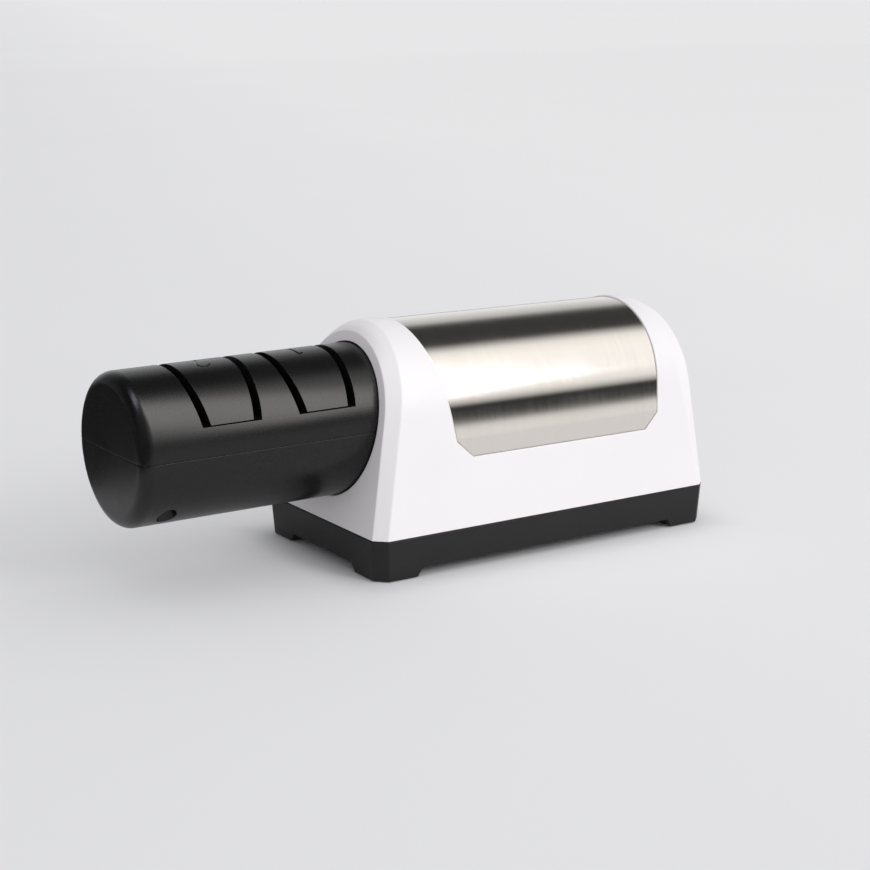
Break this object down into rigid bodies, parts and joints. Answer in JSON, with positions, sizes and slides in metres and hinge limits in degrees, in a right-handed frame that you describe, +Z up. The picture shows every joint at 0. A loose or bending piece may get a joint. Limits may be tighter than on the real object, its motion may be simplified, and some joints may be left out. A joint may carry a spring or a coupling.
{
  "type": "electric knife sharpener",
  "caption": "Tabletop electric knife sharpener: white housing with a brushed steel cover on a black base, and a black barrel head with angled knife slots that plugs into its front.",
  "frame": {"origin": "on the floor, under the middle of the whole object", "axes": "+Z up; -X towards the end of the sharpening head; the user stands on the +Y side"},
  "size_m": [0.2374, 0.0854, 0.0886],
  "materials": {
    "white_plastic": "satin moulded, very fine texture",
    "base_plastic": "matte moulded, fine grain",
    "head_plastic": "satin moulded, fine grain",
    "cover_steel": "brushed round the arch",
    "foot_rubber": "matte",
    "plated_steel": "zinc plated",
    "motor_steel": "plain drawn and turned",
    "laminations": "varnished sheet stack",
    "magnet": "matte ferrite",
    "copper": "enamelled copper",
    "brass_pin": "turned",
    "carbon": "pressed carbon",
    "grey_plastic": "matte moulded",
    "board": "coated board",
    "lead_insulation": "smooth",
    "disc_grit": "fine grit coating"
  },
  "bodies": {
    "housing": {"base_tray": "base_plastic", "housing_shell": "white_plastic", "steel_cover": "cover_steel", "circuit_board": "board", "inlet_leads": "lead_insulation", "switch_leads": "lead_insulation", "motor_leads": "lead_insulation", "foot_pad_front_left": "foot_rubber", "foot_pad_front_right": "foot_rubber", "foot_pad_rear_left": "foot_rubber", "foot_pad_rear_right": "foot_rubber", "base_screw_front_left": "plated_steel", "base_screw_front_right": "plated_steel", "base_screw_rear_left": "plated_steel", "base_screw_rear_right": "plated_steel", "motor_can": "motor_steel", "motor_front_bell": "motor_steel", "motor_rear_bell": "grey_plastic", "motor_magnet_upper": "magnet", "motor_magnet_lower": "magnet", "motor_clamp": "plated_steel", "motor_brush_left": "carbon", "motor_brush_right": "carbon", "motor_bearing_front": "plated_steel", "motor_bearing_rear": "plated_steel", "clamp_screw_front_left": "plated_steel", "clamp_screw_front_right": "plated_steel", "clamp_screw_rear_left": "plated_steel", "clamp_screw_rear_right": "plated_steel", "switch_body": "base_plastic", "inlet_body": "base_plastic", "inlet_pin_left": "brass_pin", "inlet_pin_right": "brass_pin"},
    "rotor": {"armature_core": "laminations", "armature_winding": "copper", "commutator": "copper", "cooling_fan": "grey_plastic", "motor_coupling": "base_plastic", "motor_shaft": "motor_steel"},
    "rocker": {"rocker_button": "head_plastic"},
    "head": {"head_upper_shell": "head_plastic", "head_lower_shell": "head_plastic", "guide_block_1": "head_plastic", "guide_block_2": "head_plastic", "head_screw_outer_left": "plated_steel", "head_screw_outer_right": "plated_steel", "head_screw_inner_left": "plated_steel", "head_screw_inner_right": "plated_steel", "spindle_bearing_outer": "plated_steel", "spindle_bearing_inner": "plated_steel"},
    "spindle": {"spindle_shaft": "motor_steel", "spindle_coupling": "grey_plastic", "retaining_clip_outer": "plated_steel", "retaining_clip_inner": "plated_steel", "disc_spring_1": "motor_steel", "disc_spring_2": "motor_steel"},
    "disc_1_inner": {"disc_1_inner": "disc_grit"},
    "disc_1_outer": {"disc_1_outer": "disc_grit"},
    "disc_2_inner": {"disc_2_inner": "disc_grit"},
    "disc_2_outer": {"disc_2_outer": "disc_grit"}
  },
  "joints": [
    {"name": "rotor_spin", "type": "hinge", "parent": "housing", "child": "rotor", "pos_m": [0, 0, 0.053], "axis": [1, 0, 0], "continuous": true},
    {"name": "head_pull", "type": "slide", "parent": "housing", "child": "head", "axis": [-1, 0, 0], "range_m": [0, 0.04]},
    {"name": "spindle_spin", "type": "hinge", "parent": "head", "child": "spindle", "pos_m": [-0.06, 0, 0.053], "axis": [1, 0, 0], "continuous": true},
    {"name": "disc_1_inner_press", "type": "slide", "parent": "spindle", "child": "disc_1_inner", "axis": [-1, 0, 0], "range_m": [0, 0.0013], "stiffness_N_per_m": 2000, "springref_m": -0.003, "deforming": ["disc_spring_1"]},
    {"name": "disc_1_outer_press", "type": "slide", "parent": "spindle", "child": "disc_1_outer", "axis": [1, 0, 0], "range_m": [0, 0.0013], "stiffness_N_per_m": 2000, "springref_m": -0.003, "deforming": ["disc_spring_1"]},
    {"name": "disc_2_inner_press", "type": "slide", "parent": "spindle", "child": "disc_2_inner", "axis": [-1, 0, 0], "range_m": [0, 0.0013], "stiffness_N_per_m": 2000, "springref_m": -0.003, "deforming": ["disc_spring_2"]},
    {"name": "disc_2_outer_press", "type": "slide", "parent": "spindle", "child": "disc_2_outer", "axis": [1, 0, 0], "range_m": [0, 0.0013], "stiffness_N_per_m": 2000, "springref_m": -0.003, "deforming": ["disc_spring_2"]},
    {"name": "rocker_tip", "type": "hinge", "parent": "housing", "child": "rocker", "pos_m": [0.04608, 0.03845, 0.02764], "axis": [0, -0.1652, 0.9863], "range_deg": [0, 16]}
  ],
  "couplings": [
    {"joint": "spindle_spin", "follows": "rotor_spin", "ratio": 1}
  ]
}
